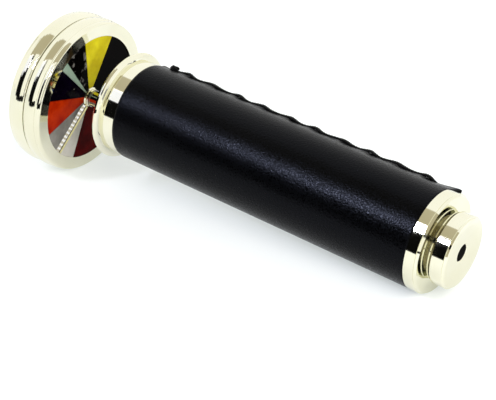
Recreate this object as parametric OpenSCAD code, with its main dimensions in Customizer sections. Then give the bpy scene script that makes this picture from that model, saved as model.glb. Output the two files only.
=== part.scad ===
// Wheel kaleidoscope: a leather covered brass barrel with three mirrors inside, a turned eyepiece at
// one end, and two wheels of coloured glass that spin on an axle at the other end.
// It lies as it does on a table, on the rim of its near wheel and the edge of its eyepiece flange.
// Every piece is drawn upright along the barrel's axis, zero at the leather's eyepiece end, with +Z
// towards the wheels and +X the side that faces up on the table. laid() then puts it on the table.

/* [Barrel] */
// Outside diameter of the brass barrel
barrel_d = 30.4; // [24:0.2:40]
// Wall of the brass barrel
barrel_wall = 1; // [0.8:0.1:1.4]
// Length of the brass barrel
barrel_l = 112; // [80:1:160]
// Thickness of the leather round the barrel
leather_t = 0.75; // [0.5:0.05:1.2]
// Stitches along the leather's seam
stitch_count = 11; // [6:1:14]
// Length of one stitch
stitch_l = 6.4; // [4:0.2:6.4]
// Thickness of the lacing thread
stitch_d = 1; // [0.6:0.1:1.4]
// Angle of the seam from the top of the barrel
seam_angle = 36; // [0:1:90]

/* [Eyepiece] */
// Width of the flange that ends flush with the leather
flange_w = 4.25; // [3:0.25:8]
// Length of the flange's spigot inside the barrel
spigot_l = 5; // [3:0.5:9]
// Width of the groove between flange and knob
neck_w = 1.95; // [1.5:0.05:4]
// Diameter of the neck in the groove
neck_d = 18.5; // [17.5:0.5:20]
// Width of the thin ring round the neck
neck_ring_w = 0.4; // [0.3:0.05:0.8]
// Height of the thin ring round the neck
neck_ring_h = 1.7; // [0.3:0.05:2]
// Diameter of the eyepiece knob
knob_d = 23.2; // [22.5:0.1:27]
// Width of the eyepiece knob
knob_w = 4.8; // [4:0.1:8]
// Width of the sloping ring round the knob's face
knob_bevel_w = 2.4; // [1:0.1:3.5]
// Height of the sloping ring round the knob's face
knob_bevel_h = 0.35; // [0.2:0.05:0.8]
// Depth of the dish in the knob's face
knob_dish = 0.45; // [0.2:0.05:0.6]
// Diameter of the eyehole
eyehole_d = 5.5; // [3:0.1:8]
// Thickness of the knob's face at the eyehole
knob_face_t = 2; // [1.5:0.1:2.5]
// Diameter of the eye lens
lens_d = 14; // [10:0.5:15]
// Thickness of the eye lens
lens_t = 1.5; // [1:0.1:2]
// Width of the lens ring's rim
lens_ring_w = 1.5; // [1:0.1:2.5]
// Thickness of the lens ring
lens_ring_t = 1.5; // [1:0.1:2]

/* [Mirrors] */
// Thickness of the mirror glass
mirror_t = 2; // [1.5:0.1:2.2]
// Clearance between the mirrors' outer edges and the barrel's bore
mirror_gap = 0.5; // [0.4:0.05:2]
// Length of each ring that holds the mirrors
mirror_ring_l = 6; // [4:0.5:12]

/* [Front end] */
// Length of barrel inside the front collar
collar_overlap = 2.4; // [1.5:0.1:8]
// Wall of the front collar round the barrel
collar_wall = 0.6; // [0.5:0.05:1.2]
// Width of the bead at the collar's front
bead_w = 2.8; // [2:0.1:3.6]
// Height of the bead above the collar
bead_h = 2.4; // [1.5:0.1:3.5]
// Thickness of the gasket behind the front window
gasket_t = 0.5; // [0.3:0.1:1]
// Thickness of the front window
window_t = 1.5; // [1:0.1:2]
// Thickness of the front plate
plate_t = 3; // [2.5:0.1:4]
// Radius of the clear view through the front plate
view_r = 11.6; // [9:0.1:12.5]
// Width of the bar that carries the axle's boss
bridge_w = 6; // [4:0.5:8]

/* [Axle] */
// Distance of the axle below the barrel's axis
axle_drop = 3.4; // [0:0.1:5]
// Distance from the front plate to the near wheel's face
standoff = 14.9; // [10:0.1:25]
// Diameter of the axle's shank
shank_d = 5.5; // [5:0.1:6.5]
// Diameter of the journal that the wheels turn on
journal_d = 4; // [3.4:0.1:4.4]
// Diameter of the axle's threaded ends
thread_d = 3; // [2.4:0.1:3.2]
// Diameter of the axle's seat on the front plate
seat_d = 8.8; // [7.5:0.1:10]
// Thickness of the axle's seat
seat_t = 1.2; // [0.8:0.1:2]
// Thickness of the flat washers
washer_t = 0.5; // [0.3:0.1:0.8]
// Diameter of the flat washers
washer_d = 5.8; // [5.4:0.1:9]
// Height of the spring washer
spring_t = 0.9; // [0.8:0.1:1.4]
// Diameter of the cap nut across its flats
nut_flats = 7; // [6:0.5:9]
// Height of the cap nut's hexagon
nut_h = 2; // [1.8:0.1:4]
// Height of the cap nut's dome
dome_h = 1.6; // [1.2:0.1:3]

/* [Wheels] */
// Outside diameter of the wheels at the middle of their bands
wheel_d = 52.5; // [48:0.5:60]
// Thickness of the near wheel
near_t = 7; // [6.4:0.1:9]
// Thickness of the far wheel
far_t = 6.4; // [6:0.1:9]
// Gap between the two wheels
wheel_gap = 0.3; // [0.2:0.05:0.8]
// Width of each rim's face, from its opening to the middle of its band
rim_w = 4.75; // [4:0.05:6]
// Height of the crown across each band
band_crown = 0.45; // [0.1:0.05:0.6]
// Width of the lip round the near face
lip_w = 2.2; // [1.4:0.1:2.6]
// Height of the crown across the near lip
lip_crown = 0.2; // [0.1:0.05:0.4]
// Rounding of the edges at the near face and at the seam
edge_r = 0.5; // [0.3:0.05:0.8]
// Rounding of the far wheel's outer edge
far_edge_r = 1.4; // [0.5:0.1:2]
// Thickness of each rim in front of its panes
rim_front_t = 0.6; // [0.5:0.05:1]
// Width of the ledge that the panes rest on
ledge_w = 2.1; // [1:0.1:2.2]
// Thickness of the glass panes
pane_t = 2; // [1.5:0.1:2.2]
// Thickness of the hubs' rings behind the panes
hub_ring_t = 0.6; // [0.4:0.05:0.8]
// Width of the ring that holds the panes in the rim
pane_ring_w = 1.8; // [1:0.1:2]
// Diameter of each hub's sleeve
hub_d = 5.8; // [5.6:0.1:6]
// Diameter of each hub's flange
hub_flange_d = 6.8; // [6.6:0.1:9]
// Thickness of each hub's flange
hub_flange_t = 0.8; // [0.6:0.1:1]
// Length of each hub in front of its panes
hub_nose = 1.6; // [1.5:0.1:3]
// Width of the solder bar on the near wheel
bar_w = 2.1; // [1:0.1:2.6]
// Height of the solder bar on the near wheel
bar_h = 1.2; // [0.5:0.1:1.4]

/* [Fits] */
// Radial clearance of the wheels on their axle
running_gap = 0.05; // [0.02:0.01:0.1]
// Radial clearance of pieces that are pushed or screwed together
seat_gap = 0.05; // [0.02:0.01:0.1]
// Play along the axis
end_play = 0.05; // [0.02:0.01:0.15]
// Angle left between neighbouring panes
pane_gap = 0.8; // [0.4:0.1:1.5]

/* [Hidden] */
$fn = 96;
round_steps = 6;
crown_steps = 8;
bead_steps = 10;
dome_steps = 8;
stitch_fn = 24;
cut = 1;
nickel = [0.87, 0.85, 0.77];
leather_black = [0.05, 0.05, 0.055];
mirror_silver = [0.78, 0.82, 0.84];
clear_glass = [0.80, 0.88, 0.90];

// Radii of the barrel and what goes round and into it
barrel_r = barrel_d / 2;
barrel_bore_r = barrel_r - barrel_wall;
leather_r0 = barrel_r + seat_gap;
leather_r = leather_r0 + leather_t;

// Places along the axis, from the eyepiece to the far wheel
knob_back = -flange_w - neck_w;
knob_front = knob_back - knob_w;
lens_seat = knob_front + knob_dish + knob_face_t;
lens_r = lens_d / 2;
lens_bore_r = lens_r + seat_gap;
knob_spigot_wall = 1.3;
knob_spigot_r = lens_bore_r + knob_spigot_wall;
knob_spigot_end = 0.8;
mirror_from = spigot_l + end_play;
mirror_to = barrel_l - end_play;
leather_l = barrel_l - collar_overlap;
collar_from = leather_l + end_play;
window_from = barrel_l + gasket_t;
plate_from = window_from + window_t;
plate_front = plate_from + plate_t;
collar_lip = 0.2;
collar_front = plate_front + collar_lip;
collar_r = barrel_r + seat_gap + collar_wall;
near_face = plate_front + standoff;
near_back = near_face + near_t;
far_from = near_back + wheel_gap;
far_face = far_from + far_t;

// Depths inside a wheel from its face: the panes, then the rings behind them up to just below the seam side
pane_inset = 0.1;
pane_back = rim_front_t + pane_t;
near_panes = near_face + rim_front_t;
far_panes = far_face - rim_front_t;
hub_end_inset = 0.15;
middle_washer_t = wheel_gap + 2 * hub_end_inset - 2 * end_play;

// Axle lengths and the stack of washers on it
journal_r = journal_d / 2;
shoulder = near_panes - hub_nose - washer_t - 2 * end_play;
far_hub_end = far_panes + hub_nose;
far_washer_from = far_hub_end + end_play;
spring_from = far_washer_from + washer_t + end_play;
nut_from = spring_from + spring_t + end_play;
nut_top = nut_from + nut_h + dome_h;
journal_end = nut_from - end_play;
thread_end = nut_from + nut_h;
dome_inset = 0.3;
dome_r = nut_flats / 2 - dome_inset;

// Wheel radii
wheel_r = wheel_d / 2;
band_r = wheel_r - band_crown;
opening_r = wheel_r - rim_w;
rebate_r = opening_r + ledge_w;
pane_r = rebate_r - seat_gap;
hub_r = hub_d / 2;
pane_hole_r = hub_r + seat_gap;

// Pane edges round each wheel in degrees, from the top towards the back of the barrel as it lies
near_angles = [-8, 30, 95, 145, 200, 227, 252, 287, 317, 326, 352];
far_angles = [20, 65, 110, 155, 200, 245, 290, 335, 380];
bar_angle = 227;

// The three mirrors meet at their inner edges, and their outer edges reach almost to the barrel's bore.
// mirror_face is the distance from the axis to a mirror's face, and mirror_half is half its width.
prism_slope = tan(60);
mirror_edge_r = barrel_bore_r - mirror_gap;
mirror_b = mirror_t - prism_slope * seat_gap;
mirror_c = pow(mirror_t, 2) + pow(seat_gap, 2) - pow(mirror_edge_r, 2);
mirror_face = (sqrt(pow(mirror_b, 2) - 4 * mirror_c) - mirror_b) / 4;
mirror_half = prism_slope * mirror_face - seat_gap;

// Small chamfers and roundings of the turned pieces
small_edge = 0.3;
turned_edge = 0.4;
knob_edge = 0.15;
knob_front_edge = 0.4;
knob_edge_angle = 80;
lip_groove_w = 0.3;
lip_groove_d = 0.15;
face_ring_edge = 0.2;
face_ring_drop = 0.08;
edge_steps = 4;

function arc(c, r, a0, a1, n = round_steps) =
    [for (i = [0:n]) let (a = a0 + (a1 - a0) * i / n) [c[0] + r * cos(a), c[1] + r * sin(a)]];

// A crown of height h over the band between z0 and z1: [radius, z]
function crown(z0, z1, h) = let (half = (z1 - z0) / 2, r = (pow(half, 2) + pow(h, 2)) / (2 * h))
    [for (i = [1:crown_steps - 1]) let (z = -half + 2 * half * i / crown_steps)
        [band_r + sqrt(pow(r, 2) - pow(z, 2)) - r + h, z0 + half + z]];

// A rim's outer outline from its face (z = 0) to its seam side (z = t): [radius, z]
function face_edge(r) = arc([band_r - r, r], r, -90, 0);
function seam_edge(t) = arc([band_r - edge_r, t - edge_r], edge_r, 0, 90);
near_outline = concat(
    face_edge(edge_r), crown(edge_r, lip_w, lip_crown),
    [[band_r, lip_w], [band_r - lip_groove_d, lip_w + lip_groove_w / 2], [band_r, lip_w + lip_groove_w]],
    crown(lip_w + lip_groove_w, near_t - edge_r, band_crown), seam_edge(near_t));
far_outline = concat(
    face_edge(far_edge_r), crown(far_edge_r, far_t - edge_r, band_crown), seam_edge(far_t));

// The knob's outline from its back edge to its eyehole: [radius, z]
knob_r = knob_d / 2;
face_ring_r = knob_r - knob_bevel_w;
knob_side_front = knob_front + knob_bevel_h;
knob_outline = concat(
    arc([knob_r - knob_edge, knob_back - knob_edge], knob_edge, 90, 0, edge_steps),
    arc([knob_r - knob_front_edge, knob_side_front + knob_front_edge], knob_front_edge, 0, -knob_edge_angle,
        edge_steps),
    [[face_ring_r + face_ring_edge, knob_front],
     [face_ring_r - face_ring_edge, knob_front + face_ring_drop],
     [eyehole_d / 2 + small_edge, knob_front + knob_dish],
     [eyehole_d / 2, knob_front + knob_dish + small_edge]]);

flange_outline = concat(
    arc([leather_r - turned_edge, -flange_w + turned_edge], turned_edge, -90, 0, edge_steps),
    [[leather_r, 0]]);

// How the part lies: the barrel's axis climbs from the flange to the near wheel, which both touch the table
function height(r, z, a) = z * sin(a) - r * cos(a);
function flange_low(a) = min([for (q = flange_outline) height(q[0], q[1], a)]);
function wheel_low(a) = min([for (q = near_outline) height(q[0] + axle_drop, near_face + q[1], a)]);
span = near_face + near_t / 2 + flange_w;
rise_guess = atan2(wheel_r + axle_drop - leather_r, span);
rise = rise_guess + atan2(flange_low(rise_guess) - wheel_low(rise_guess), span);

// Lowest point and reach of the end points, which set the part on the table
function reach(r, z) = -z * cos(rise) + r * sin(rise);
lowest = min(flange_low(rise), wheel_low(rise));
reach_max = max([for (q = knob_outline) reach(q[0], q[1])]);
reach_min = min(concat(
    [for (q = far_outline) reach(-q[0] - axle_drop, far_face - q[1])],
    [reach(-axle_drop, nut_top)]));

// Lays a piece on the table, with the middle of the part over the origin
module laid() {
    translate([-(reach_max + reach_min) / 2, 0, -lowest]) rotate([0, rise - 90, 0]) children();
}

// Puts a piece on the axle's line
module on_axle(z = 0) {
    translate([-axle_drop, 0, z]) children();
}

// Puts a far wheel's piece on the axle, turned round so that its face looks away from the barrel
module on_far_axle() {
    on_axle(far_face) mirror([0, 0, 1]) children();
}

module tube(r0, r1, h) {
    rotate_extrude() translate([r0, 0]) square([r1 - r0, h]);
}

// Eyepiece

module eyepiece_flange() {
    bore_r = knob_spigot_r + seat_gap;
    counterbore_r = bore_r + 1.5;
    web = 1;
    color(nickel) laid() rotate_extrude() polygon(concat(
        [[bore_r, -flange_w]], flange_outline,
        [[barrel_bore_r - seat_gap, 0], [barrel_bore_r - seat_gap, spigot_l],
         [counterbore_r, spigot_l], [counterbore_r, web], [bore_r, web]]));
}

module eyepiece_knob() {
    neck_from = -flange_w - end_play;
    neck_r = neck_d / 2;
    ring_from = (neck_from + knob_back + neck_ring_w) / 2;
    ring_to = ring_from - neck_ring_w;
    color(nickel) laid() rotate_extrude() polygon(concat(
        [[lens_bore_r, knob_spigot_end], [knob_spigot_r, knob_spigot_end], [knob_spigot_r, neck_from],
         [neck_r, neck_from], [neck_r, ring_from], [neck_r + neck_ring_h, ring_from],
         [neck_r + neck_ring_h, ring_to], [neck_r, ring_to], [neck_r, knob_back]],
        knob_outline,
        [[eyehole_d / 2, lens_seat], [lens_bore_r, lens_seat]]));
}

module eye_lens() {
    color(clear_glass) laid() translate([0, 0, lens_seat]) cylinder(r = lens_r, h = lens_t);
}

module lens_ring() {
    color(nickel) laid() translate([0, 0, lens_seat + lens_t])
        tube(lens_r - lens_ring_w, lens_r, lens_ring_t);
}

// Barrel and its leather

module barrel_tube() {
    color("goldenrod") laid() tube(barrel_bore_r, barrel_r, barrel_l);
}

module leather_sleeve() {
    color(leather_black) laid() tube(leather_r0, leather_r, leather_l);
}

// Lacing that draws the leather's two edges together, one rounded stitch after another
module seam_lacing() {
    pitch = leather_l / stitch_count;
    straight = stitch_l - stitch_d;
    lift = 0.02;
    color(leather_black) laid() rotate([0, 0, seam_angle])
        for (i = [0:stitch_count - 1])
            translate([leather_r + stitch_d / 2 + lift, 0, pitch * (i + 0.5)]) {
                translate([0, 0, -straight / 2]) cylinder(d = stitch_d, h = straight, $fn = stitch_fn);
                for (end = [-1, 1])
                    translate([0, 0, end * straight / 2]) sphere(d = stitch_d, $fn = stitch_fn);
            }
}

// Mirrors and the rings that hold them

module mirror_strip(turn) {
    color(mirror_silver) laid() rotate([0, 0, turn]) translate([mirror_face, -mirror_half, mirror_from])
        cube([mirror_t, 2 * mirror_half, mirror_to - mirror_from]);
}

module mirror_top() { mirror_strip(0); }
module mirror_front() { mirror_strip(240); }
module mirror_back() { mirror_strip(120); }

module mirror_outline(gap) {
    corner = mirror_face + mirror_t + gap;
    half = mirror_half + gap;
    polygon([for (k = [0:2], side = [-1, 1]) let (a = 120 * k)
        [corner * cos(a) - side * half * sin(a), corner * sin(a) + side * half * cos(a)]]);
}

module mirror_ring(z) {
    color("saddlebrown") laid() translate([0, 0, z]) difference() {
        cylinder(r = barrel_bore_r - seat_gap, h = mirror_ring_l);
        translate([0, 0, -cut]) linear_extrude(mirror_ring_l + 2 * cut) mirror_outline(seat_gap);
    }
}

module mirror_ring_eye() { mirror_ring(spigot_l); }
module mirror_ring_wheel() { mirror_ring(barrel_l - mirror_ring_l); }

// Front end of the barrel

module front_collar() {
    bead_r = bead_w / 2;
    bead_z = collar_front - bead_r;
    bore_r = barrel_r + seat_gap;
    cove_inset = 0.25;
    cove_r = collar_r - cove_inset;
    cove_w = 0.6;
    cove_from = bead_z - bead_r - cove_w;
    color(nickel) laid() rotate_extrude() polygon(concat(
        [[bore_r, collar_from], [collar_r, collar_from], [collar_r, cove_from - small_edge],
         [cove_r, cove_from], [cove_r, bead_z - bead_r]],
        [for (i = [0:bead_steps]) let (a = -90 + 165 * i / bead_steps)
            [cove_r + bead_h * cos(a), bead_z + bead_r * sin(a)]],
        [[cove_r, collar_front], [bore_r, collar_front]]));
}

module window_gasket() {
    lip = 0.6;
    color("black") laid() translate([0, 0, barrel_l]) tube(barrel_bore_r - lip, barrel_r, gasket_t);
}

module front_window() {
    color(clear_glass) laid() translate([0, 0, window_from]) cylinder(r = barrel_r, h = window_t);
}

// Plate with a crescent shaped view and a bar across it that carries the axle's boss
module front_plate() {
    color("black") laid() translate([0, 0, plate_from]) difference() {
        cylinder(r = barrel_r, h = plate_t);
        difference() {
            translate([0, 0, -cut]) cylinder(r = view_r, h = plate_t + 2 * cut);
            translate([-axle_drop, 0, -2 * cut]) cylinder(d = seat_d, h = plate_t + 4 * cut);
            translate([-barrel_r, -bridge_w / 2, -2 * cut])
                cube([barrel_r - axle_drop, bridge_w, plate_t + 4 * cut]);
        }
        translate([-axle_drop, 0, -cut]) cylinder(r = thread_d / 2 + seat_gap, h = plate_t + 2 * cut);
    }
}

// Axle, washers and nut

module axle() {
    thread_from = plate_from + 0.3;
    seat_top = plate_front + seat_t;
    color(nickel) laid() on_axle() rotate_extrude() polygon([
        [0, thread_from], [thread_d / 2, thread_from], [thread_d / 2, plate_front],
        [seat_d / 2, plate_front], [seat_d / 2, seat_top - small_edge],
        [seat_d / 2 - small_edge, seat_top], [shank_d / 2, seat_top],
        [shank_d / 2, shoulder], [journal_r, shoulder], [journal_r, journal_end],
        [thread_d / 2, journal_end], [thread_d / 2, thread_end], [0, thread_end]]);
}

module washer(z, t, d) {
    color("silver") laid() on_axle(z) tube(journal_r + running_gap, d / 2, t);
}

module near_washer() { washer(shoulder + end_play, washer_t, washer_d); }
module middle_washer() { washer(near_back - hub_end_inset + end_play, middle_washer_t, washer_d); }
module far_washer() { washer(far_washer_from, washer_t, washer_d); }

// Dished spring washer that keeps a light drag on the wheels
module spring_washer() {
    inner_r = journal_r + running_gap;
    disc_t = 0.4;
    outer_r = washer_d / 2 - disc_t;
    color("silver") laid() on_axle(spring_from) rotate_extrude() polygon([
        [outer_r, 0], [outer_r, disc_t], [inner_r, spring_t], [inner_r, spring_t - disc_t]]);
}

module cap_nut() {
    nut_bore_r = thread_d / 2 + seat_gap;
    color(nickel) laid() on_axle(nut_from) difference() {
        union() {
            cylinder(d = nut_flats / cos(30), h = nut_h, $fn = 6);
            translate([0, 0, nut_h]) rotate_extrude() polygon(concat(
                [[0, 0]],
                [for (i = [0:dome_steps]) let (a = 90 * i / dome_steps) [dome_r * cos(a), dome_h * sin(a)]]));
        }
        translate([0, 0, -cut]) cylinder(r = nut_bore_r, h = nut_h + cut + end_play);
    }
}

// Wheels, drawn from the face (z = 0) to the seam side (z = t)

module rim(t, outline) {
    color(nickel) rotate_extrude() polygon(concat(
        [[opening_r, 0]], outline,
        [[rebate_r, t], [rebate_r, rim_front_t], [opening_r, rim_front_t]]));
}

module hub(t) {
    nose_z = rim_front_t - hub_nose;
    flange_z = rim_front_t - hub_flange_t;
    flange_r = hub_flange_d / 2;
    bore_r = journal_r + running_gap;
    color(nickel) rotate_extrude() polygon([
        [bore_r, nose_z], [hub_r - turned_edge, nose_z], [hub_r, nose_z + turned_edge],
        [hub_r, flange_z], [flange_r - small_edge, flange_z], [flange_r, flange_z + small_edge],
        [flange_r, rim_front_t], [hub_r, rim_front_t],
        [hub_r, t - hub_end_inset], [bore_r, t - hub_end_inset]]);
}

module hub_ring() {
    color(nickel) translate([0, 0, pane_back]) tube(hub_r + seat_gap, hub_flange_d / 2, hub_ring_t);
}

module pane_ring(t) {
    color(nickel) translate([0, 0, pane_back])
        tube(rebate_r - pane_ring_w, rebate_r - seat_gap, t - pane_inset - pane_back);
}

module pane(a0, a1) {
    translate([0, 0, rim_front_t]) rotate([0, 0, a0 + pane_gap / 2])
        rotate_extrude(angle = a1 - a0 - pane_gap)
            translate([pane_hole_r, 0]) square([pane_r - pane_hole_r, pane_t]);
}

module near_rim() { laid() on_axle(near_face) rim(near_t, near_outline); }
module near_hub() { laid() on_axle(near_face) hub(near_t); }
module near_hub_ring() { laid() on_axle(near_face) hub_ring(); }
module near_pane_ring() { laid() on_axle(near_face) pane_ring(near_t); }

// Bar of solder over the joint between two panes, from the hub's flange to the rim
module near_solder_bar() {
    bar_gap = 0.1;
    from_r = hub_flange_d / 2 + bar_gap;
    to_r = opening_r - bar_gap;
    color("silver") laid() on_axle(near_panes) rotate([0, 0, bar_angle]) translate([from_r, 0, 0])
        rotate([90, 0, 90]) linear_extrude(to_r - from_r)
            polygon([[-bar_w / 2, 0], [bar_w / 2, 0], [bar_w / 4, -bar_h], [-bar_w / 4, -bar_h]]);
}

module near_pane(k, tint) {
    color(tint) laid() on_axle(near_face) pane(near_angles[k], near_angles[k + 1]);
}

module near_pane_yellow() { near_pane(0, [0.95, 0.83, 0.10]); }
module near_pane_black() { near_pane(1, [0.05, 0.04, 0.06]); }
module near_pane_blue() { near_pane(2, [0.10, 0.20, 0.60]); }
module near_pane_maroon() { near_pane(3, [0.35, 0.03, 0.05]); }
module near_pane_pearl() { near_pane(4, [0.86, 0.85, 0.80]); }
module near_pane_clear() { near_pane(5, [0.80, 0.82, 0.80]); }
module near_pane_red() { near_pane(6, [0.85, 0.16, 0.04]); }
module near_pane_navy() { near_pane(7, [0.08, 0.05, 0.20]); }
module near_pane_green() { near_pane(8, [0.62, 0.75, 0.66]); }
module near_pane_smoke() { near_pane(9, [0.40, 0.38, 0.36]); }

module far_rim() { laid() on_far_axle() rim(far_t, far_outline); }
module far_hub() { laid() on_far_axle() hub(far_t); }
module far_hub_ring() { laid() on_far_axle() hub_ring(); }
module far_pane_ring() { laid() on_far_axle() pane_ring(far_t); }

module far_pane(k, tint) {
    color(tint) laid() on_far_axle() pane(far_angles[k], far_angles[k + 1]);
}

module far_pane_amber() { far_pane(0, [0.85, 0.50, 0.08]); }
module far_pane_teal() { far_pane(1, [0.05, 0.45, 0.45]); }
module far_pane_rose() { far_pane(2, [0.80, 0.30, 0.42]); }
module far_pane_clear() { far_pane(3, [0.80, 0.82, 0.80]); }
module far_pane_violet() { far_pane(4, [0.35, 0.12, 0.50]); }
module far_pane_lime() { far_pane(5, [0.55, 0.72, 0.15]); }
module far_pane_orange() { far_pane(6, [0.90, 0.38, 0.06]); }
module far_pane_blue() { far_pane(7, [0.10, 0.22, 0.65]); }

eyepiece_flange();
eyepiece_knob();
eye_lens();
lens_ring();
barrel_tube();
leather_sleeve();
seam_lacing();
mirror_top();
mirror_front();
mirror_back();
mirror_ring_eye();
mirror_ring_wheel();
front_collar();
window_gasket();
front_window();
front_plate();
axle();
near_washer();
middle_washer();
far_washer();
spring_washer();
cap_nut();
near_rim();
near_hub();
near_hub_ring();
near_pane_ring();
near_solder_bar();
near_pane_yellow();
near_pane_black();
near_pane_blue();
near_pane_maroon();
near_pane_pearl();
near_pane_clear();
near_pane_red();
near_pane_navy();
near_pane_green();
near_pane_smoke();
far_rim();
far_hub();
far_hub_ring();
far_pane_ring();
far_pane_amber();
far_pane_teal();
far_pane_rose();
far_pane_clear();
far_pane_violet();
far_pane_lime();
far_pane_orange();
far_pane_blue();
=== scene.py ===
# Wheel kaleidoscope: a leather covered barrel with mirrors inside, a turned eyepiece at one end and
# two wheels of coloured glass that spin on an axle at the other end. It lies on its near wheel and flange.
import math

import bpy
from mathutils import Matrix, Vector


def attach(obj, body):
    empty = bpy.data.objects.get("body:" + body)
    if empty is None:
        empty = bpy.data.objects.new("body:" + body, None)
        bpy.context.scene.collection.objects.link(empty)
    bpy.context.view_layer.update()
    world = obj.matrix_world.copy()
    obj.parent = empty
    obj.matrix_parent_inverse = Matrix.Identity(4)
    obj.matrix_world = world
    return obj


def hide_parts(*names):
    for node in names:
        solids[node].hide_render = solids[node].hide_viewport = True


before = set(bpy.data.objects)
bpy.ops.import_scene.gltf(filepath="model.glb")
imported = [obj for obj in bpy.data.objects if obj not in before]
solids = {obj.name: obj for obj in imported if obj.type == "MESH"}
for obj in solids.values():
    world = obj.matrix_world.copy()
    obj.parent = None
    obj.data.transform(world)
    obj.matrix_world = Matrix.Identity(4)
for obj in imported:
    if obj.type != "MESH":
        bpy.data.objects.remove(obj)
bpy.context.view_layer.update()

# Barrel tube
# The barrel is a drawn brass tube, a little uneven in colour and polish. It carries the mirrors inside,
# the leather outside and a turned end piece at each end.


def new_finish(name, colour, roughness, metallic=0.0):
    """Material with plain values on its shader, and its node tree for what varies over the surface."""
    finish = bpy.data.materials.new(name)
    finish.use_nodes = True
    shader = finish.node_tree.nodes["Principled BSDF"]
    shader.inputs["Base Color"].default_value = (*colour, 1.0)
    shader.inputs["Roughness"].default_value = roughness
    shader.inputs["Metallic"].default_value = metallic
    return finish, finish.node_tree, shader


def add_node(tree, kind, values=None, **settings):
    """Node of one kind with its input values and settings."""
    made = tree.nodes.new(kind)
    for key, value in settings.items():
        setattr(made, key, value)
    for key, value in (values or {}).items():
        made.inputs[key].default_value = value
    return made


def own_place(tree):
    """The piece's own coordinates in metres."""
    return add_node(tree, "ShaderNodeTexCoord").outputs["Object"]


def noise(tree, per_metre, detail=2.0, roughness=0.5):
    """Cloudy noise over a piece, with about so many clouds to a metre."""
    made = add_node(tree, "ShaderNodeTexNoise",
                    {"Scale": per_metre, "Detail": detail, "Roughness": roughness})
    tree.links.new(own_place(tree), made.inputs["Vector"])
    return made.outputs["Fac"]


def ramp(tree, source, stops):
    """Colour ramp with stops of place and colour."""
    made = add_node(tree, "ShaderNodeValToRGB")
    elements = made.color_ramp.elements
    while len(elements) < len(stops):
        elements.new(0.5)
    for element, (place, colour) in zip(elements, stops):
        element.position = place
        element.color = (*colour, 1.0)
    tree.links.new(source, made.inputs["Fac"])
    return made.outputs["Color"]


def spread(tree, source, low, high, start=0.3, stop=0.7):
    """Brings the source's range from start to stop to run from low to high."""
    made = add_node(tree, "ShaderNodeMapRange",
                    {"From Min": start, "From Max": stop, "To Min": low, "To Max": high})
    tree.links.new(source, made.inputs["Value"])
    return made.outputs["Result"]


def vary_colour(tree, shader, source, dark, pale, start=0.3, stop=0.7):
    """Colour that drifts from dark to pale over the surface."""
    tree.links.new(ramp(tree, source, [(start, dark), (stop, pale)]), shader.inputs["Base Color"])


def vary_gloss(tree, shader, source, smooth, dull):
    """Roughness that drifts from smooth to dull over the surface."""
    tree.links.new(spread(tree, source, smooth, dull), shader.inputs["Roughness"])


def dress(finish, *names):
    """Gives solids of the part one finish."""
    for name in names:
        solids[name].data.materials.clear()
        solids[name].data.materials.append(finish)


brass, tree, shader = new_finish("drawn brass", colour=(0.72, 0.53, 0.24), roughness=0.3, metallic=1.0)
vary_colour(tree, shader, noise(tree, per_metre=90.0), dark=(0.60, 0.42, 0.17), pale=(0.76, 0.57, 0.27))
vary_gloss(tree, shader, noise(tree, per_metre=700.0), smooth=0.22, dull=0.4)
dress(brass, "barrel_tube")

# Mirrors and their rings
# Three strips of silvered glass make a prism along the barrel, with their bright sides inwards.
# Two rings of pressed card hold them, one at each end.
silvered, tree, shader = new_finish("silvered glass", colour=(0.86, 0.89, 0.90), roughness=0.03, metallic=1.0)
vary_gloss(tree, shader, noise(tree, per_metre=60.0), smooth=0.02, dull=0.05)
dress(silvered, "mirror_top", "mirror_front", "mirror_back")


def add_bump(tree, shader, height, strength, distance):
    """Bump of a real height in metres on the shader's normal."""
    made = add_node(tree, "ShaderNodeBump", {"Strength": strength, "Distance": distance})
    tree.links.new(height, made.inputs["Height"])
    tree.links.new(made.outputs["Normal"], shader.inputs["Normal"])


card, tree, shader = new_finish("pressed card", colour=(0.42, 0.30, 0.18), roughness=0.85)
fibres = noise(tree, per_metre=900.0, detail=4.0, roughness=0.6)
vary_colour(tree, shader, fibres, dark=(0.34, 0.24, 0.14), pale=(0.48, 0.35, 0.22))
add_bump(tree, shader, fibres, strength=0.4, distance=0.0001)
dress(card, "mirror_ring_eye", "mirror_ring_wheel")

# Leather sleeve
# Thin black calf leather is wrapped round the barrel, which climbs a little from the eyepiece to the larger
# wheels. Its two long edges are turned up where they meet at the top rear, and at the eyepiece one corner of
# the upper edge sticks out past the flange.
MM = 0.001

# The barrel's climb, the middle of the leather's eye end, and the ways along the barrel, up and to the back
RISE = math.radians(5.58593)
EYE_END = Vector((0.0697488, 0.0, 0.0162989))
ALONG = Vector((-math.cos(RISE), 0.0, math.sin(RISE)))
TOP = Vector((math.sin(RISE), 0.0, math.cos(RISE)))
BACK = Vector((0.0, 1.0, 0.0))

# Sizes in mm
LEATHER_R = 16.0
LEATHER_T = 0.75
LEATHER_L = 109.6
LEATHER_ROWS = 240
LEATHER_COLUMNS = 220
ROW_CROWDING = 0.9
SEAM = math.radians(36.0)
SEAM_GAP = 0.12
STITCH_COUNT = 11
STITCH = LEATHER_L / STITCH_COUNT

# How far the long edges turn up, over what width, and less at each stitch hole; how the ends round off
EDGE_LIFT = 0.42
EDGE_W = 1.1
HOLE_PULL = 0.25
END_DROP = 0.22
END_W = 0.35

# Slight waves in the hide: their height, and how fast they run along the barrel and drift round it
WAVE_H = 0.015
WAVE_RUN = 0.31
WAVE_DRIFT = 4
WAVE_ROUND = 9.0

# The corner that sticks out: its width and length, how far it reaches out and up, and how sharply it does
TAB_W = 6.0
TAB_L = 5.0
TAB_OUT = 2.6
TAB_OUT_BEND = 1.5
TAB_UP = 0.75
TAB_UP_BEND = 1.3


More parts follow.
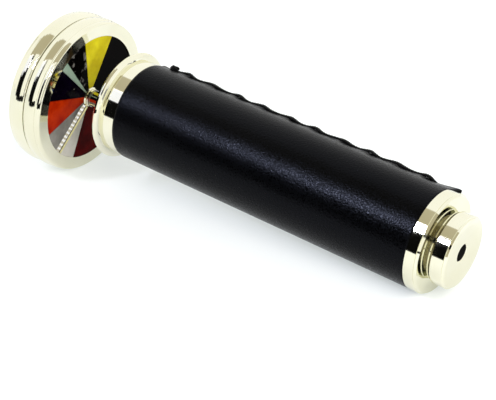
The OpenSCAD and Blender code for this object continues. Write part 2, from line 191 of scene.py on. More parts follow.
def barrel_point(s, r, angle):
    """Point s mm from the leather's eye end and r mm off the axis, at an angle from the top to the back."""
    out = math.cos(angle) * TOP + math.sin(angle) * BACK
    return EYE_END + (s * ALONG + r * out) * MM


def leather_point(s, turn, inner):
    """Point of the sleeve; turn runs from 0 at the seam all the way round to 1."""
    arc = turn * 2 * math.pi * LEATHER_R
    girth = 2 * math.pi * LEATHER_R
    to_seam = min(arc, girth - arc)
    lift = EDGE_LIFT * math.exp(-(to_seam / EDGE_W) ** 2)
    lift *= 1 - HOLE_PULL + HOLE_PULL * math.cos(2 * math.pi * s / STITCH)
    end = min(s, LEATHER_L - s)
    lift -= END_DROP * math.exp(-(end / END_W) ** 2)
    wave = math.sin(s * WAVE_RUN + WAVE_DRIFT * math.sin(turn * WAVE_ROUND))
    lift += WAVE_H * wave * math.sin(turn * 2 * math.pi)
    r = LEATHER_R - LEATHER_T if inner else LEATHER_R + lift
    tab = max(0.0, 1 - (girth - arc) / TAB_W) * max(0.0, 1 - s / TAB_L)
    out = TAB_OUT * tab ** TAB_OUT_BEND
    up = TAB_UP * tab ** TAB_UP_BEND
    gap = SEAM_GAP * (1 - 2 * turn) / LEATHER_R
    return barrel_point(s - out, r + up, SEAM + turn * 2 * math.pi + gap)


def eased(k, count):
    """Places from 0 to 1 that crowd together at both ends."""
    t = k / count
    return t - ROW_CROWDING * math.sin(2 * math.pi * t) / (2 * math.pi)


def new_piece(name, verts, faces):
    """Smooth mesh object in the part's frame."""
    mesh = bpy.data.meshes.new(name)
    mesh.from_pydata([tuple(v) for v in verts], [], faces)
    mesh.validate()
    mesh.update()
    for polygon in mesh.polygons:
        polygon.use_smooth = True
    made = bpy.data.objects.new(name, mesh)
    bpy.context.scene.collection.objects.link(made)
    return made


def leather_shell(name, rows, columns):
    """Closed shell of the sleeve, from an outer and an inner grid of points."""
    verts = []
    for inner in (False, True):
        for i in range(rows + 1):
            for j in range(columns + 1):
                verts.append(leather_point(LEATHER_L * eased(i, rows), eased(j, columns), inner))
    layer = (rows + 1) * (columns + 1)

    def at(i, j, inner):
        return inner * layer + i * (columns + 1) + j

    faces = []
    for i in range(rows):
        for j in range(columns):
            faces.append((at(i, j, 0), at(i + 1, j, 0), at(i + 1, j + 1, 0), at(i, j + 1, 0)))
            faces.append((at(i, j, 1), at(i, j + 1, 1), at(i + 1, j + 1, 1), at(i + 1, j, 1)))
    for i in range(rows):
        faces.append((at(i, 0, 0), at(i, 0, 1), at(i + 1, 0, 1), at(i + 1, 0, 0)))
        faces.append((at(i, columns, 0), at(i + 1, columns, 0), at(i + 1, columns, 1), at(i, columns, 1)))
    for j in range(columns):
        faces.append((at(0, j, 0), at(0, j + 1, 0), at(0, j + 1, 1), at(0, j, 1)))
        faces.append((at(rows, j, 0), at(rows, j, 1), at(rows, j + 1, 1), at(rows, j + 1, 0)))
    return new_piece(name, verts, faces)


def reckon(tree, operation, *values):
    """Math node on values that are each a socket or a number."""
    made = add_node(tree, "ShaderNodeMath", operation=operation)
    for socket, value in zip(made.inputs, values):
        if isinstance(value, (int, float)):
            socket.default_value = value
        else:
            tree.links.new(value, socket)
    return made.outputs[0]


def distance_from(tree, start, direction):
    """How far a point of the surface lies from start along one direction, in metres."""
    offset = add_node(tree, "ShaderNodeVectorMath", {1: start}, operation="SUBTRACT")
    tree.links.new(own_place(tree), offset.inputs[0])
    made = add_node(tree, "ShaderNodeVectorMath", {1: direction}, operation="DOT_PRODUCT")
    tree.links.new(offset.outputs["Vector"], made.inputs[0])
    return made.outputs["Value"]


sleeve = leather_shell("leather_wrap", LEATHER_ROWS, LEATHER_COLUMNS)

# The grain is of rounded pebbles with fine pores. Hands have polished its tops, most of all at the eye end.
PEBBLES = 1800.0
PORE_H = 0.35
POLISH_FADE = 1.2
leather, tree, shader = new_finish("black calf leather", colour=(0.001, 0.001, 0.0012), roughness=0.16)
pebbles = add_node(tree, "ShaderNodeTexVoronoi", {"Scale": PEBBLES, "Randomness": 1.0}, feature="SMOOTH_F1")
tree.links.new(own_place(tree), pebbles.inputs["Vector"])
grain = reckon(tree, "MULTIPLY_ADD", noise(tree, per_metre=4200.0), PORE_H, pebbles.outputs["Distance"])
add_bump(tree, shader, grain, strength=0.32, distance=0.0002)
handled = distance_from(tree, EYE_END, -POLISH_FADE * ALONG)
polished = reckon(tree, "ADD", noise(tree, per_metre=2000.0), handled)
tree.links.new(spread(tree, polished, low=0.30, high=0.06, start=0.48, stop=0.60), shader.inputs["Roughness"])
vary_colour(tree, shader, noise(tree, per_metre=45.0, detail=4.0),
            dark=(0.0002, 0.0002, 0.0003), pale=(0.0008, 0.0008, 0.0010))
shader.inputs["Specular IOR Level"].default_value = 0.085
shader.inputs["Specular Tint"].default_value = (0.76, 0.82, 1.0, 1.0)
sleeve.data.materials.append(leather)
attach(sleeve, "scope")
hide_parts("leather_sleeve")

# Seam lacing
# One waxed black lace is whipped over the leather's two edges from a knot at the wheel end.
# It sinks between the edges at each hole and stands up over the seam between two holes.
LACE_R = 0.5
LACE_FROM = 106.5
LACE_TO = 5.5
LACE_STEPS = 700
LACE_SIDES = 12

# How far the lace swings to each side and up at every stitch, with a slow wander that no two stitches share
LACE_SWING = 0.75
LACE_LAG = 0.5
LACE_SEAT = 0.55
LACE_RISE = 0.34
SIDE_WANDER = 0.12
SIDE_WANDER_RUN = 1.7
HIGH_WANDER = 0.08
HIGH_WANDER_RUN = 0.9

# Its two tips are drawn thin, and its strands are twisted
TIP_SHARE = 0.35
TIP_STEPS = 14
TWIST_H = 0.07
TWIST_RUN = 7.5


def lace_point(s):
    """Middle of the lace at s mm from the leather's eye end."""
    phase = 2 * math.pi * s / STITCH
    side = LACE_SWING * math.sin(phase + LACE_LAG) + SIDE_WANDER * math.sin(SIDE_WANDER_RUN * s)
    high = LACE_SEAT + LACE_RISE * math.cos(phase) + HIGH_WANDER * math.sin(HIGH_WANDER_RUN * s)
    return barrel_point(s, LEATHER_R + high, SEAM + side / LEATHER_R)


def cord_mesh(name, centres, radii):
    """Round cord along a row of points, with a radius in metres for each."""
    verts = []
    faces = []
    lead = (centres[1] - centres[0]).normalized()
    across = lead.orthogonal().normalized()
    for k, centre in enumerate(centres):
        ahead = centres[min(k + 1, len(centres) - 1)] - centres[max(k - 1, 0)]
        ahead.normalize()
        across = (across - across.dot(ahead) * ahead).normalized()
        other = ahead.cross(across)
        for q in range(LACE_SIDES):
            a = 2 * math.pi * q / LACE_SIDES
            verts.append(centre + (math.cos(a) * across + math.sin(a) * other) * radii[k])
    for k in range(len(centres) - 1):
        for q in range(LACE_SIDES):
            a = k * LACE_SIDES + q
            b = k * LACE_SIDES + (q + 1) % LACE_SIDES
            faces.append((a, b, b + LACE_SIDES, a + LACE_SIDES))
    faces.append(tuple(reversed(range(LACE_SIDES))))
    last = (len(centres) - 1) * LACE_SIDES
    faces.append(tuple(range(last, last + LACE_SIDES)))
    return new_piece(name, verts, faces)


lace_line = []
lace_radii = []
for k in range(LACE_STEPS + 1):
    s = LACE_FROM + (LACE_TO - LACE_FROM) * k / LACE_STEPS
    lace_line.append(lace_point(s))
    taper = min(1.0, TIP_SHARE + (1 - TIP_SHARE) * min(k, LACE_STEPS - k) / TIP_STEPS)
    twist = 1 + TWIST_H * math.sin(TWIST_RUN * s)
    lace_radii.append(LACE_R * taper * twist * MM)
lace = cord_mesh("seam_lace", lace_line, lace_radii)

# The knot is two loops of the lace's end, which cross over each other
KNOT_AT = 105.3
KNOT_R = 0.42
KNOT_STEPS = 120
KNOT_LOOPS = 2
KNOT_L = 1.1
KNOT_SPREAD = 0.75
KNOT_UNEVEN = 0.3
KNOT_WEAVE = 1.5
KNOT_SEAT = 0.95
KNOT_RISE = 0.4
knot_line = []
for k in range(KNOT_STEPS + 1):
    a = 2 * math.pi * KNOT_LOOPS * k / KNOT_STEPS
    wide = KNOT_SPREAD + KNOT_UNEVEN * math.cos(KNOT_WEAVE * a)
    high = KNOT_SEAT + KNOT_RISE * math.sin(KNOT_WEAVE * a)
    side = wide * math.sin(a)
    s = KNOT_AT + KNOT_L * wide * math.cos(a)
    knot_line.append(barrel_point(s, LEATHER_R + high, SEAM + side / LEATHER_R))
knot = cord_mesh("lace_knot", knot_line, [KNOT_R * MM] * len(knot_line))

waxed, tree, shader = new_finish("waxed black lace", colour=(0.012, 0.012, 0.012), roughness=0.5)
strands = noise(tree, per_metre=2600.0, detail=3.0, roughness=0.6)
add_bump(tree, shader, strands, strength=0.5, distance=0.0001)
vary_colour(tree, shader, strands, dark=(0.001, 0.001, 0.001), pale=(0.004, 0.004, 0.004), start=0.35)
vary_gloss(tree, shader, noise(tree, per_metre=1200.0), smooth=0.4, dull=0.65)
shader.inputs["Specular IOR Level"].default_value = 0.12
for piece in (lace, knot):
    piece.data.materials.append(waxed)
    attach(piece, "scope")
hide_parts("seam_lacing")

# Eyepiece
# Flange and knob are turned from brass and nickel plated, each with a narrow stepped bevel round its front.
# The flange's spigot is pushed into the barrel, the knob's neck into the flange, and a ring holds the round
# window behind the eyehole.
nickel, tree, shader = new_finish("polished nickel plate", colour=(0.87, 0.85, 0.68), roughness=0.06,
                                  metallic=1.0)
vary_colour(tree, shader, noise(tree, per_metre=55.0, detail=3.0),
            dark=(0.84, 0.82, 0.63), pale=(0.90, 0.885, 0.73))
vary_gloss(tree, shader, noise(tree, per_metre=240.0, detail=4.0), smooth=0.035, dull=0.09)
add_bump(tree, shader, noise(tree, per_metre=120.0, detail=1.0), strength=0.03, distance=0.0003)
dress(nickel, "lens_ring")

# The groove behind the knob is coloured darker nickel: painted shade in the recess between flange and knob.
dull, tree, shader = new_finish("nickel plate with painted shade", colour=(0.30, 0.28, 0.21), roughness=0.2, metallic=1.0)
vary_colour(tree, shader, noise(tree, per_metre=300.0, detail=3.0),
            dark=(0.22, 0.20, 0.15), pale=(0.38, 0.36, 0.28))
vary_gloss(tree, shader, noise(tree, per_metre=900.0), smooth=0.12, dull=0.28)

# The eyehole's wall is coloured black: painted shade inside the hole.
eyehole_painted_shade, tree, shader = new_finish("black painted shade in the eyehole", colour=(0.006, 0.006, 0.006), roughness=0.6)
vary_gloss(tree, shader, noise(tree, per_metre=900.0), smooth=0.5, dull=0.7)
FINISHES = (nickel, dull, eyehole_painted_shade)
TURN_STEPS = 180
SHARP = math.radians(20.0)


def turned(name, outline):
    """Ring turned round the barrel's axis, from a closed outline of radius, place along it and finish."""
    verts = []
    faces = []
    count = len(outline)
    for k in range(TURN_STEPS):
        a = 2 * math.pi * k / TURN_STEPS
        verts += [barrel_point(s, r, a) for r, s, _ in outline]
        here = k * count
        there = (k + 1) % TURN_STEPS * count
        for q in range(count):
            after = (q + 1) % count
            faces.append((here + q, here + after, there + after, there + q))
    made = new_piece(name, verts, faces)
    for finish in FINISHES:
        made.data.materials.append(finish)
    for polygon in made.data.polygons:
        polygon.material_index = FINISHES.index(outline[polygon.index % count][2])
    made.data.set_sharp_from_angle(angle=SHARP)
    return made


# Places along the barrel are below zero in front of the leather
SPIGOT_L = 5.0
SPIGOT_R = 14.15
SPIGOT_BORE_R = 9.9
FLANGE_FRONT = -4.25
FLANGE_STEP = -3.35
FLANGE_STEP_FOOT = -3.4
FLANGE_STEP_R = 15.7
FLANGE_FRONT_R = 15.4
NECK_HOLE_R = 8.4
NECK_HOLE_END = 1.0
flange = turned("turned_flange", [
    (SPIGOT_BORE_R, SPIGOT_L, nickel),
    (SPIGOT_R, SPIGOT_L, nickel),
    (SPIGOT_R, 0.0, nickel),
    (LEATHER_R, 0.0, nickel),
    (LEATHER_R, FLANGE_STEP, nickel),
    (FLANGE_STEP_R, FLANGE_STEP_FOOT, nickel),
    (FLANGE_FRONT_R, FLANGE_FRONT, nickel),
    (NECK_HOLE_R, FLANGE_FRONT, nickel),
    (NECK_HOLE_R, NECK_HOLE_END, nickel),
    (SPIGOT_BORE_R, NECK_HOLE_END, nickel)])

PUSH_GAP = 0.05
LENS_BORE_R = 7.05
NECK_END = 0.8
GROOVE_R = 9.25
RING_R = 10.95
RING_BACK = -5.05
RING_FRONT = -5.45
KNOB_BACK = -6.2
KNOB_FRONT = -11.0
KNOB_R = 11.6
KNOB_EDGE = 0.15
KNOB_STEP = -10.25
KNOB_STEP_FOOT = -10.3
KNOB_STEP_R = 11.3
KNOB_BEVEL = -10.86
KNOB_BEVEL_R = 11.0
FACE_R = 9.6
DISH_R = 9.0
DISH_EDGE = -10.92
DISH_MIDDLE = -10.55
EYEHOLE_R = 2.75
EYEHOLE_EDGE = 0.3
LENS_SEAT = -8.55
knob = turned("turned_knob", [
    (LENS_BORE_R, NECK_END, nickel),
    (NECK_HOLE_R - PUSH_GAP, NECK_END, nickel),
    # The neck's faces in the groove take the darker nickel, a painted shade.
    (NECK_HOLE_R - PUSH_GAP, FLANGE_FRONT - PUSH_GAP, dull),
    (GROOVE_R, FLANGE_FRONT - PUSH_GAP, dull),
    (GROOVE_R, RING_BACK, nickel),
    (RING_R, RING_BACK, nickel),
    (RING_R, RING_FRONT, nickel),
    (GROOVE_R, RING_FRONT, dull),
    (GROOVE_R, KNOB_BACK, nickel),
    (KNOB_R - KNOB_EDGE, KNOB_BACK, nickel),
    (KNOB_R, KNOB_BACK - KNOB_EDGE, nickel),
    (KNOB_R, KNOB_STEP, nickel),
    (KNOB_STEP_R, KNOB_STEP_FOOT, nickel),
    (KNOB_BEVEL_R, KNOB_BEVEL, nickel),
    (FACE_R, KNOB_FRONT, nickel),
    (DISH_R, DISH_EDGE, nickel),
    (EYEHOLE_R + EYEHOLE_EDGE, DISH_MIDDLE, nickel),
    # The eyehole's wall takes the painted shade.
    (EYEHOLE_R, DISH_MIDDLE + EYEHOLE_EDGE, eyehole_painted_shade),
    (EYEHOLE_R, LENS_SEAT, nickel),
    (LENS_BORE_R, LENS_SEAT, nickel)])
for piece, node in ((flange, "eyepiece_flange"), (knob, "eyepiece_knob")):
    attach(piece, "scope")
    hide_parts(node)

clear, tree, shader = new_finish("clear glass", colour=(0.95, 0.97, 0.97), roughness=0.03)
shader.inputs["Transmission Weight"].default_value = 1.0
shader.inputs["IOR"].default_value = 1.5
vary_gloss(tree, shader, noise(tree, per_metre=160.0), smooth=0.01, dull=0.05)
dress(clear, "eye_lens")

# Front end
# A nickel collar with a rounded bead closes the wheel end of the leather. In it sit a rubber gasket,
# a glass window and the plate that carries the axle.
rubber, tree, shader = new_finish("black rubber", colour=(0.03, 0.03, 0.03), roughness=0.75)
add_bump(tree, shader, noise(tree, per_metre=1500.0), strength=0.2, distance=0.00005)
dress(rubber, "window_gasket")
dress(clear, "front_window")
dress(nickel, "front_collar")

enamel, tree, shader = new_finish("black enamel", colour=(0.010, 0.010, 0.011), roughness=0.25)
vary_gloss(tree, shader, noise(tree, per_metre=400.0, detail=3.0), smooth=0.2, dull=0.35)
add_bump(tree, shader, noise(tree, per_metre=900.0), strength=0.1, distance=0.00005)
dress(enamel, "front_plate")

# Axle, washers and nut
# The axle is a turned nickel post with a seat on the plate. Steel washers space the wheels, a dished one
# keeps a light drag on them, and a cap nut holds them.
steel, tree, shader = new_finish("plain steel", colour=(0.60, 0.60, 0.58), roughness=0.3, metallic=1.0)
vary_gloss(tree, shader, noise(tree, per_metre=1200.0, detail=3.0), smooth=0.22, dull=0.4)
dress(nickel, "axle", "cap_nut")
dress(steel, "near_washer", "middle_washer", "far_washer", "spring_washer")

# Wheel rims and hubs
# Each rim is a heavy turned ring with a convex band, polished and nickel plated like its hub.
# The panes lie on a ledge inside the rim, held by a thin ring behind them.
dress(nickel, "near_rim", "near_hub", "near_hub_ring", "near_pane_ring")
dress(nickel, "far_rim", "far_hub", "far_hub_ring", "far_pane_ring")

# Solder bar
# One joint between two panes of the near wheel carries a ribbed bar. Its colour across its width is painted
# light and shade: a gold side, a thin dark line and a bright silver side stand in for how its facets catch
# the light.
NEAR_FACE = 131.9
AXLE_DROP = 3.4
BAR_W = 2.1
RIB_PITCH = 1.5
RIB_H = 0.5
PAINTED_BRIGHT_FACET = (0.93, 0.93, 0.92)
PAINTED_GOLD_FACET = (0.90, 0.80, 0.42)
PAINTED_DARK_LINE = (0.01, 0.01, 0.01)
GOLD_FACET_SHARE = 0.70
BRIGHT_FACET_FROM = 0.80
DARK_LINE_EDGE = 0.02
hub_middle = barrel_point(NEAR_FACE, AXLE_DROP, math.pi)
bar_points = [v.co for v in solids["near_solder_bar"].data.vertices]
outward = sum(bar_points, Vector()) / len(bar_points) - hub_middle
outward = (outward - outward.dot(ALONG) * ALONG).normalized()
sideways = ALONG.cross(outward)
solder, tree, shader = new_finish("solder bar with painted facet light", colour=(0.90, 0.89, 0.84), roughness=0.16,
                                  metallic=1.0)
across_bar = spread(tree, distance_from(tree, hub_middle, sideways), low=0.0, high=1.0,
                    start=-BAR_W / 2 * MM, stop=BAR_W / 2 * MM)
# Painted facet light across the bar: gold side, painted dark line, bright silver side.
painted_facets = [(0.0, PAINTED_GOLD_FACET), (GOLD_FACET_SHARE, PAINTED_GOLD_FACET), (GOLD_FACET_SHARE + DARK_LINE_EDGE, PAINTED_DARK_LINE),
          (BRIGHT_FACET_FROM - DARK_LINE_EDGE, PAINTED_DARK_LINE), (BRIGHT_FACET_FROM, PAINTED_BRIGHT_FACET), (1.0, PAINTED_BRIGHT_FACET)]
tree.links.new(ramp(tree, across_bar, painted_facets), shader.inputs["Base Color"])
rib_turn = reckon(tree, "MULTIPLY", distance_from(tree, hub_middle, outward), 2 * math.pi / (RIB_PITCH * MM))
ribs = reckon(tree, "SINE", rib_turn)
ripple = reckon(tree, "MULTIPLY_ADD", ribs, RIB_H, noise(tree, per_metre=700.0, detail=3.0))
add_bump(tree, shader, ripple, strength=0.5, distance=0.0002)
vary_gloss(tree, shader, noise(tree, per_metre=900.0), smooth=0.1, dull=0.25)
dress(solder, "near_solder_bar")

# Glass panes
# The wheels are filled with pie shaped panes of art glass. Most are coloured through and barely let light
# past. Each has a deep and a pale shade, and the share of light that it lets through.
PANES = {
    "near_pane_yellow": ((0.62, 0.50, 0.004), (0.86, 0.76, 0.012), 0.1),
    "near_pane_black": ((0.0005, 0.0004, 0.0004), (0.002, 0.001, 0.001), 0.0),
    "near_pane_blue": ((0.03, 0.07, 0.34), (0.05, 0.12, 0.46), 0.2),
    "near_pane_maroon": ((0.036, 0.0001, 0.0004), (0.11, 0.0002, 0.001), 0.03),
    "near_pane_pearl": ((0.62, 0.60, 0.53), (0.74, 0.72, 0.66), 0.1),
    "near_pane_clear": ((0.20, 0.19, 0.17), (0.34, 0.33, 0.30), 0.1),
    "near_pane_red": ((0.28, 0.005, 0.0005), (0.52, 0.03, 0.0008), 0.05),
    "near_pane_navy": ((0.0005, 0.0002, 0.001), (0.002, 0.0007, 0.005), 0.03),
    "near_pane_green": ((0.26, 0.38, 0.28), (0.36, 0.48, 0.37), 0.2),
    # The smoke pane's two shades are a painted reflection: near black with pale flecks as painted glints.
    "near_pane_smoke": ((0.0012, 0.001, 0.001), (0.30, 0.29, 0.26), 0.0),
    "far_pane_amber": ((0.42, 0.14, 0.006), (0.74, 0.36, 0.02), 0.15),
    "far_pane_teal": ((0.004, 0.09, 0.10), (0.02, 0.28, 0.27), 0.15),
    "far_pane_rose": ((0.38, 0.05, 0.09), (0.66, 0.19, 0.25), 0.15),
    "far_pane_clear": ((0.55, 0.56, 0.52), (0.75, 0.76, 0.72), 0.3),
    "far_pane_violet": ((0.06, 0.01, 0.13), (0.19, 0.05, 0.31), 0.15),
    "far_pane_lime": ((0.15, 0.27, 0.012), (0.38, 0.53, 0.04), 0.15),
    "far_pane_orange": ((0.55, 0.09, 0.003), (0.84, 0.27, 0.015), 0.15),
    "far_pane_blue": ((0.012, 0.03, 0.22), (0.05, 0.12, 0.50), 0.15),
}
for name, (deep, pale, through) in PANES.items():
    wheel, _, shade = name.split("_")
    glass, tree, shader = new_finish(shade + " art glass " + wheel, colour=pale, roughness=0.05)
    shader.inputs["Transmission Weight"].default_value = through
    shader.inputs["IOR"].default_value = 1.52
    shader.inputs["Specular IOR Level"].default_value = 0.012
    # The smoke pane's colour is a painted reflection: near black, with pale silvery flecks as painted glints.
    if shade == "smoke":
        smoke_painted_glints = noise(tree, per_metre=260.0, detail=3.0, roughness=0.6)
        vary_colour(tree, shader, smoke_painted_glints, deep, pale, start=0.54, stop=0.72)
    else:
        streaks = noise(tree, per_metre=130.0, detail=3.0, roughness=0.6)
        vary_colour(tree, shader, streaks, deep, pale, start=0.35, stop=0.65)
    vary_gloss(tree, shader, noise(tree, per_metre=300.0), smooth=0.03, dull=0.08)
    add_bump(tree, shader, noise(tree, per_metre=160.0, detail=1.0), strength=0.06, distance=0.0004)
    dress(glass, name)

# Table
# A white table, which the object lies on and throws its shadow on. In the mirror of the metal it is white
# too, but for the part in front that lies under the dark gap of the tent.
TABLE_HALF = 4.0
TABLE_MATTE = (0.61, 0.605, 0.605, 1.0)
TABLE_GLOW = (0.92, 1.0, 0.99, 1.0)
GLOW_SEEN = 0.44
GLOW_MIRRORED = 0.30
SHADE_FROM_Y = -0.25
SHADE_SLANT_LOW = -0.6
SHADE_SLANT_HIGH = 1.0
SHADE_MATTE = (0.004, 0.004, 0.004, 1.0)
table_corners = [Vector((x, y, 0.0)) * TABLE_HALF for x, y in ((-1, -1), (1, -1), (1, 1), (-1, 1))]
floor = new_piece("floor", table_corners, [(0, 1, 2, 3)])
paper = bpy.data.materials.new("white table")
paper.use_nodes = True
tree = paper.node_tree
tree.nodes.clear()


def all_of(tree, first, *others):
    """Product of masks: what is in every one of them."""
    for other in others:
        first = reckon(tree, "MULTIPLY", first, other)
    return first


def add_light(tree, first, second):
    """Shader with the light of two."""
    made = add_node(tree, "ShaderNodeAddShader")
    tree.links.new(first.outputs[0], made.inputs[0])
    tree.links.new(second.outputs[0], made.inputs[1])
    return made


def change_over(tree, share, first, second):
    """Shader that goes from the first to the second as a share goes from 0 to 1."""
    made = add_node(tree, "ShaderNodeMixShader")
    tree.links.new(share, made.inputs["Fac"])
    tree.links.new(first.outputs[0], made.inputs[1])
    tree.links.new(second.outputs[0], made.inputs[2])
    return made


ray = add_node(tree, "ShaderNodeLightPath")
spot = add_node(tree, "ShaderNodeSeparateXYZ")
tree.links.new(add_node(tree, "ShaderNodeNewGeometry").outputs["Position"], spot.inputs[0])
slant = reckon(tree, "DIVIDE", spot.outputs["X"], spot.outputs["Y"])
in_shade = all_of(tree, reckon(tree, "GREATER_THAN", slant, SHADE_SLANT_LOW),
                  reckon(tree, "LESS_THAN", slant, SHADE_SLANT_HIGH),
                  reckon(tree, "LESS_THAN", spot.outputs["Y"], SHADE_FROM_Y),
                  ray.outputs["Is Glossy Ray"])
mirrored = reckon(tree, "MAXIMUM", ray.outputs["Is Glossy Ray"], ray.outputs["Is Transmission Ray"])
lit = reckon(tree, "ADD", reckon(tree, "MULTIPLY", ray.outputs["Is Camera Ray"], GLOW_SEEN),
             reckon(tree, "MULTIPLY", mirrored, GLOW_MIRRORED))
matte = add_node(tree, "ShaderNodeBsdfDiffuse", {"Color": TABLE_MATTE})
glow = add_node(tree, "ShaderNodeEmission", {"Color": TABLE_GLOW})
tree.links.new(lit, glow.inputs["Strength"])
shaded = add_node(tree, "ShaderNodeBsdfDiffuse", {"Color": SHADE_MATTE})
table_top = change_over(tree, in_shade, add_light(tree, matte, glow), shaded)
table_out = add_node(tree, "ShaderNodeOutputMaterial")
tree.links.new(table_top.outputs[0], table_out.inputs["Surface"])
floor.data.materials.append(paper)

# Tent
# A white tent stands round the table. At the front left it has an upright gap, dark below, with a bright
# window at the top of the dark and an olive grey cloth above. The cloth reaches on to the right and hangs
# down there. Climb goes from 0 at the front horizon, up and over, to 1 at the back one.
bpy.context.scene.view_settings.view_transform = "Standard"
TENT_WHITE = (0.95, 0.95, 0.93)
TENT_LIGHT = 1.14
GAP_DARK = (0.003, 0.003, 0.003)
GAP_X = -0.46
GAP_HALF = 0.22
GAP_HALF_OUTER = 0.27
GAP_DARK_TOP = 0.30
CLOTH_FOOT = 0.33
CLOTH_TOP = 0.515
TENT_FROM = 0.53
CLOTH_LOW = (0.45, 0.41, 0.30)
CLOTH_HIGH = (0.48, 0.44, 0.33)
CLOTH_RIGHT = (0.46, 0.42, 0.31)
CLOTH_RIGHT_FROM = -0.24
CLOTH_RIGHT_TO = 0.72
CLOTH_DROP_FROM = 0.30
CLOTH_DROP_TO = 0.45
PEEPHOLE = (0.51, -0.71, 0.49)
PEEPHOLE_COS = 0.985
WINDOW_TINT = (0.82, 0.84, 1.0, 1.0)
WINDOW_HALF = 0.17
WINDOW_SLOPE = 0.25
WINDOW_SILL = 0.302
WINDOW_FADE_H = 0.08
WINDOW_LEAST = 1.3
BRIGHT_FROM = -0.42
BRIGHT_TO = -0.32
BRIGHT_LOW = 0.5
BRIGHT_HIGH = 110.0
MIX_INPUTS = (0, 6, 7)
MIX_OUTPUT = 2


def lay_over(tree, share, under, colour):
    """Colour laid over another one where a share is 1."""
    made = add_node(tree, "ShaderNodeMix", data_type="RGBA")
    share_in, under_in, colour_in = (made.inputs[k] for k in MIX_INPUTS)
    tree.links.new(share, share_in)
    tree.links.new(under, under_in)
    colour_in.default_value = (*colour, 1.0)
    return made.outputs[MIX_OUTPUT]


world = bpy.data.worlds.new("studio")
bpy.context.scene.world = world
world.use_nodes = True
tree = world.node_tree
tree.nodes.clear()
way = add_node(tree, "ShaderNodeTexCoord").outputs["Generated"]
axes = add_node(tree, "ShaderNodeSeparateXYZ")
tree.links.new(way, axes.inputs[0])
front = reckon(tree, "MULTIPLY", axes.outputs["Y"], -1.0)
climb = reckon(tree, "DIVIDE", reckon(tree, "ARCTAN2", axes.outputs["Z"], front), math.pi)

# The gap with its dark foot and the cloth over it
gap_strip = ramp(tree, climb, [(0.0, GAP_DARK), (GAP_DARK_TOP, GAP_DARK), (CLOTH_FOOT, CLOTH_LOW),
                               (CLOTH_TOP, CLOTH_HIGH), (TENT_FROM, TENT_WHITE), (1.0, TENT_WHITE)])
from_gap = reckon(tree, "ABSOLUTE", reckon(tree, "SUBTRACT", axes.outputs["X"], GAP_X))
beside_gap = add_node(tree, "ShaderNodeMapRange", {"From Min": GAP_HALF, "From Max": GAP_HALF_OUTER},
                      interpolation_type="SMOOTHSTEP")
tree.links.new(from_gap, beside_gap.inputs["Value"])
open_tent = lay_over(tree, beside_gap.outputs["Result"], gap_strip, TENT_WHITE)

# The cloth's right part
cloth_foot = spread(tree, axes.outputs["X"], low=CLOTH_FOOT, high=0.0,
                    start=CLOTH_DROP_FROM, stop=CLOTH_DROP_TO)
cloth = all_of(tree, reckon(tree, "GREATER_THAN", climb, cloth_foot),
               reckon(tree, "LESS_THAN", climb, CLOTH_TOP),
               reckon(tree, "GREATER_THAN", axes.outputs["X"], CLOTH_RIGHT_FROM),
               reckon(tree, "LESS_THAN", axes.outputs["X"], CLOTH_RIGHT_TO))
draped_tent = lay_over(tree, cloth, open_tent, CLOTH_RIGHT)

# A small dark hole to look through, with the tent's light all round it
towards = add_node(tree, "ShaderNodeVectorMath", {1: PEEPHOLE}, operation="DOT_PRODUCT")
tree.links.new(way, towards.inputs[0])
beside_hole = reckon(tree, "LESS_THAN", towards.outputs["Value"], PEEPHOLE_COS)
tent_light = add_node(tree, "ShaderNodeBackground")
tree.links.new(draped_tent, tent_light.inputs["Color"])
tree.links.new(reckon(tree, "MULTIPLY", beside_hole, TENT_LIGHT), tent_light.inputs["Strength"])

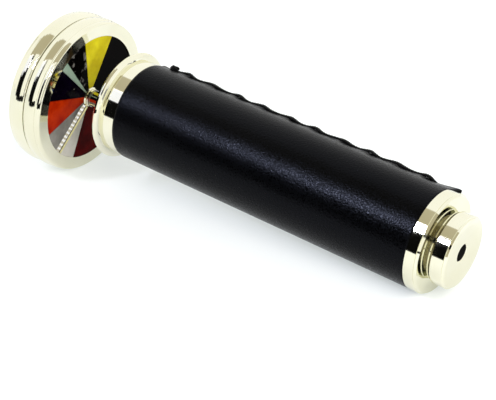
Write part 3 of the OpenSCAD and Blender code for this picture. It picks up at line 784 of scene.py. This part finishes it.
# The window, brightest at its right and just over its sloping sill
sill = reckon(tree, "MULTIPLY_ADD", axes.outputs["X"], WINDOW_SLOPE, WINDOW_SILL)
over_sill = reckon(tree, "SUBTRACT", climb, sill)
by_side = spread(tree, axes.outputs["X"], low=BRIGHT_LOW, high=BRIGHT_HIGH, start=BRIGHT_FROM, stop=BRIGHT_TO)
by_height = spread(tree, over_sill, low=1.0, high=0.1, start=0.0, stop=WINDOW_FADE_H)
power = reckon(tree, "MAXIMUM", reckon(tree, "MULTIPLY", by_side, by_height), WINDOW_LEAST)
window = all_of(tree, reckon(tree, "GREATER_THAN", climb, sill),
                reckon(tree, "LESS_THAN", climb, CLOTH_FOOT),
                reckon(tree, "LESS_THAN", from_gap, WINDOW_HALF),
                power)
window_light = add_node(tree, "ShaderNodeBackground", {"Color": WINDOW_TINT})
tree.links.new(window, window_light.inputs["Strength"])

# All light together, and plain white behind the object as it is seen
white = add_node(tree, "ShaderNodeBackground", {"Color": (1.0, 1.0, 1.0, 1.0), "Strength": 1.0})
ray = add_node(tree, "ShaderNodeLightPath")
backdrop = change_over(tree, ray.outputs["Is Camera Ray"], add_light(tree, tent_light, window_light), white)
world_out = add_node(tree, "ShaderNodeOutputWorld")
tree.links.new(backdrop.outputs[0], world_out.inputs["Surface"])

# Fill light
# A round lamp at the front right is aimed at the face of the near wheel.
# It brightens the glass and doesn't show in the metal.
FILL_PLACE = Vector((0.36, -0.24, 0.34))
FILL_AIM = Vector((-0.065, 0.0, 0.026))
lamp = bpy.data.lights.new("fill light", "AREA")
lamp.shape = "DISK"
lamp.size = 0.3
lamp.energy = 1.7
fill = bpy.data.objects.new("fill light", lamp)
bpy.context.scene.collection.objects.link(fill)
fill.location = FILL_PLACE
fill.rotation_mode = "QUATERNION"
fill.rotation_quaternion = (FILL_AIM - FILL_PLACE).to_track_quat("-Z", "Y")
fill.visible_glossy = False

# Camera
# It looks down on the eyepiece end from the front right, through a long lens.
# The whole object fills the width of the picture, with the wheels at the top left.
CAMERA_PLACE = Vector((0.2798256, -0.3828978, 0.2723315))
CAMERA_FORWARD = Vector((-0.5115594, 0.7068624, -0.4885209))
camera = bpy.data.objects.new("camera", bpy.data.cameras.new("camera"))
bpy.context.scene.collection.objects.link(camera)
camera.data.sensor_width = 36.0
camera.data.lens = 123.39
camera.data.clip_start = 0.01
camera.location = CAMERA_PLACE
camera.rotation_mode = "QUATERNION"
camera.rotation_quaternion = CAMERA_FORWARD.to_track_quat("-Z", "Y")
bpy.context.scene.camera = camera
